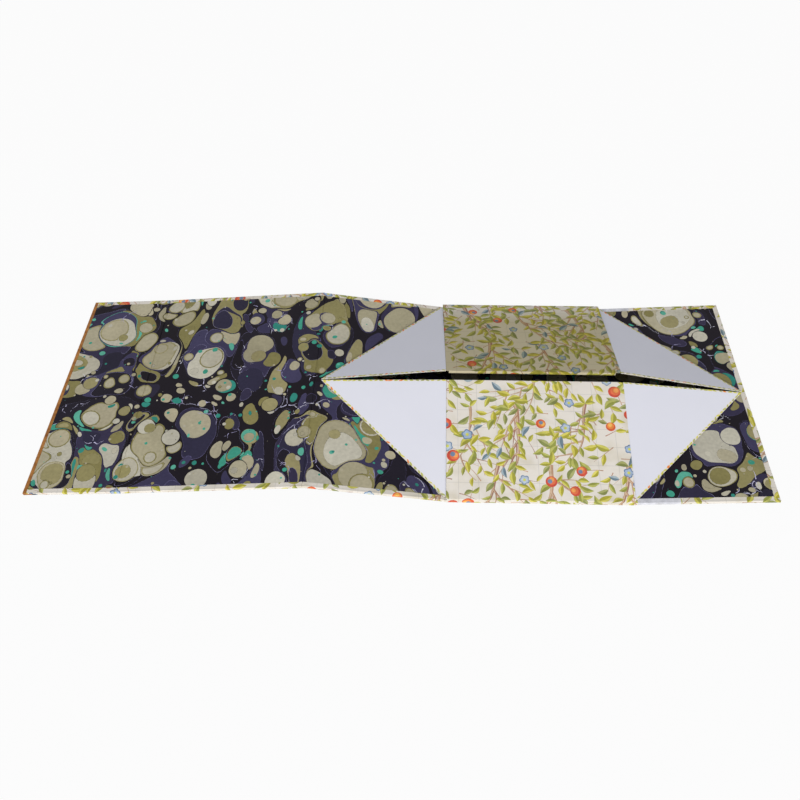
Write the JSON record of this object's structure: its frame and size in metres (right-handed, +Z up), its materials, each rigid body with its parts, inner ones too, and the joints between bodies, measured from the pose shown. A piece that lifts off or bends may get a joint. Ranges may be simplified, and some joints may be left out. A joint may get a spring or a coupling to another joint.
{
  "type": "collapsible magnetic gift box",
  "caption": "Folding rigid gift box of wrapped board, lying opened out: base, walls and gussets that fold up together, lid with magnetic closure flap.",
  "frame": {"origin": "centre of the base panel's underside", "axes": "+X along the row of panels, from the base to the front wall, with the back wall, lid and flap on the -X side; +Y along the folds, away from the near edge; +Z up"},
  "size_m": [0.5583, 0.204, 0.0263],
  "materials": {
    "greyboard": "raw grey bookbinding board",
    "printed_paper": "smooth uncoated paper, cream with a printed sprig pattern",
    "marbled_paper": "smooth paper with traditional stone marbling",
    "white_paper": "plain matt white paper",
    "gusset_card": "thin pale card",
    "brown_paper": "plain orange-brown paper",
    "magnet": "plated disc magnet"
  },
  "bodies": {
    "base": {"base_board": "greyboard", "base_wrap": "printed_paper", "base_lining": "marbled_paper", "near_spine_strip": "printed_paper", "far_spine_strip": "printed_paper"},
    "back_wall": {"back_wall_board": "greyboard", "back_wall_wrap": "printed_paper", "back_wall_lining": "marbled_paper"},
    "lid": {"lid_board": "greyboard", "lid_wrap": "printed_paper", "lid_lining": "marbled_paper"},
    "flap": {"flap_board": "greyboard", "flap_wrap": "printed_paper", "flap_lining": "marbled_paper", "flap_end_strip": "brown_paper", "flap_magnets": "magnet"},
    "front_wall": {"front_wall_board": "greyboard", "front_wall_wrap": "printed_paper", "front_wall_lining": "marbled_paper", "front_wall_magnets": "magnet"},
    "near_side": {"near_side_board": "greyboard", "near_side_wrap": "printed_paper", "near_side_lining": "marbled_paper"},
    "far_side": {"far_side_board": "greyboard", "far_side_wrap": "printed_paper", "far_side_lining": "marbled_paper"},
    "near_back_gusset": {"near_back_gusset_card": "gusset_card", "near_back_gusset_facing": "white_paper", "near_back_gusset_lining": "marbled_paper"},
    "far_back_gusset": {"far_back_gusset_card": "gusset_card", "far_back_gusset_facing": "white_paper", "far_back_gusset_lining": "marbled_paper"},
    "near_front_gusset": {"near_front_gusset_card": "gusset_card", "near_front_gusset_facing": "white_paper", "near_front_gusset_lining": "marbled_paper"},
    "far_front_gusset": {"far_front_gusset_card": "gusset_card", "far_front_gusset_facing": "white_paper", "far_front_gusset_lining": "marbled_paper"}
  },
  "joints": [
    {"name": "back_wall_fold", "type": "hinge", "parent": "base", "child": "back_wall", "pos_m": [-0.069, 0, 0], "axis": [0, 1, 0], "range_deg": [0, 81.5]},
    {"name": "lid_fold", "type": "hinge", "parent": "back_wall", "child": "lid", "pos_m": [-0.17542, 0, 0.0159], "axis": [0, 1, 0], "range_deg": [0, 103.35]},
    {"name": "flap_fold", "type": "hinge", "parent": "lid", "child": "flap", "pos_m": [-0.31571, 0, 0.004], "axis": [0, 1, 0], "range_deg": [0, 88.47]},
    {"name": "front_wall_fold", "type": "hinge", "parent": "base", "child": "front_wall", "pos_m": [0.069, 0, 0], "axis": [0, -1, 0], "range_deg": [0, 86.3]},
    {"name": "near_side_fold", "type": "hinge", "parent": "base", "child": "near_side", "pos_m": [0, -0.102, 0.0051], "axis": [1, 0, 0], "range_deg": [0, 77.88]},
    {"name": "far_side_fold", "type": "hinge", "parent": "base", "child": "far_side", "pos_m": [0, 0.102, 0.0051], "axis": [-1, 0, 0], "range_deg": [0, 77.88]},
    {"name": "near_back_gusset_fold", "type": "hinge", "parent": "back_wall", "child": "near_back_gusset", "pos_m": [-0.06902, -0.102, 0.00324], "axis": [0.6993, -0.7071, -0.1045], "range_deg": [0, 161.4]},
    {"name": "far_back_gusset_fold", "type": "hinge", "parent": "back_wall", "child": "far_back_gusset", "pos_m": [-0.06902, 0.102, 0.00324], "axis": [-0.6993, -0.7071, 0.1045], "range_deg": [0, 161.4]},
    {"name": "near_front_gusset_fold", "type": "hinge", "parent": "front_wall", "child": "near_front_gusset", "pos_m": [0.06929, -0.102, 0.00323], "axis": [0.7056, 0.7071, 0.0456], "range_deg": [0, 161.4]},
    {"name": "far_front_gusset_fold", "type": "hinge", "parent": "front_wall", "child": "far_front_gusset", "pos_m": [0.06929, 0.102, 0.00323], "axis": [-0.7056, 0.7071, -0.0456], "range_deg": [0, 161.4]}
  ],
  "couplings": [
    {"joint": "front_wall_fold", "follows": "back_wall_fold", "ratio": 1.0588},
    {"joint": "near_side_fold", "follows": "back_wall_fold", "ratio": 0.9555},
    {"joint": "far_side_fold", "follows": "back_wall_fold", "ratio": 0.9555},
    {"joint": "near_back_gusset_fold", "follows": "back_wall_fold", "ratio": 1.9803},
    {"joint": "far_back_gusset_fold", "follows": "back_wall_fold", "ratio": 1.9803},
    {"joint": "near_front_gusset_fold", "follows": "back_wall_fold", "ratio": 1.9803},
    {"joint": "far_front_gusset_fold", "follows": "back_wall_fold", "ratio": 1.9803}
  ]
}
